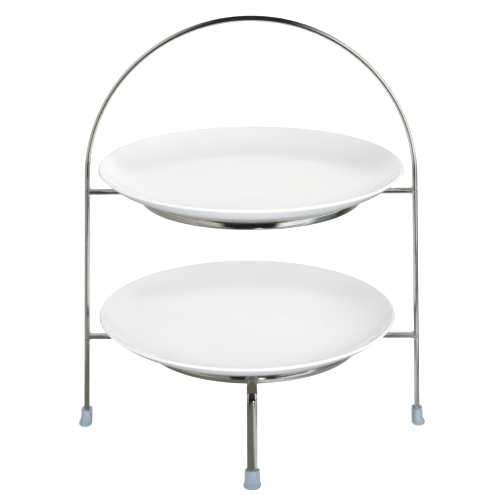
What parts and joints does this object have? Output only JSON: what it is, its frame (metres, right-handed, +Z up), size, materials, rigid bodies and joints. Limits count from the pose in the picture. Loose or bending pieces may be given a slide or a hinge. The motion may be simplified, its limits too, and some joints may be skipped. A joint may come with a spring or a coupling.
{
  "type": "tiered cake stand",
  "caption": "Two-tier cake stand: a bent flat-oval bar hoop with two welded rings, capped feet and loose white porcelain coupe plates that lift off.",
  "frame": {"origin": "on the table, midway between the left and right feet and below the centre of the two rings", "axes": "+Z up, +X from the left foot to the right foot in the plane of the hoop, -Y towards the front leg"},
  "size_m": [0.3262, 0.27, 0.3859],
  "materials": {
    "steel": "satin polished",
    "porcelain": "gloss glaze",
    "foot_plastic": "milky translucent, soft satin"
  },
  "bodies": {
    "stand": {"hoop": "steel", "upper_ring": "steel", "lower_ring": "steel", "upper_left_strut": "steel", "upper_right_strut": "steel", "lower_left_strut": "steel", "lower_right_strut": "steel", "front_leg": "steel", "rear_leg": "steel", "left_foot_cap": "foot_plastic", "right_foot_cap": "foot_plastic", "front_foot_cap": "foot_plastic", "rear_foot_cap": "foot_plastic"},
    "upper_plate": {"upper_plate": "porcelain"},
    "lower_plate": {"lower_plate": "porcelain"}
  },
  "joints": [
    {"name": "upper_plate_lift", "type": "slide", "parent": "stand", "child": "upper_plate", "axis": [0, -0.9511, 0.309], "range_m": [0, 0.285]},
    {"name": "lower_plate_lift", "type": "slide", "parent": "stand", "child": "lower_plate", "axis": [0, -0.9511, 0.309], "range_m": [0, 0.285]}
  ]
}
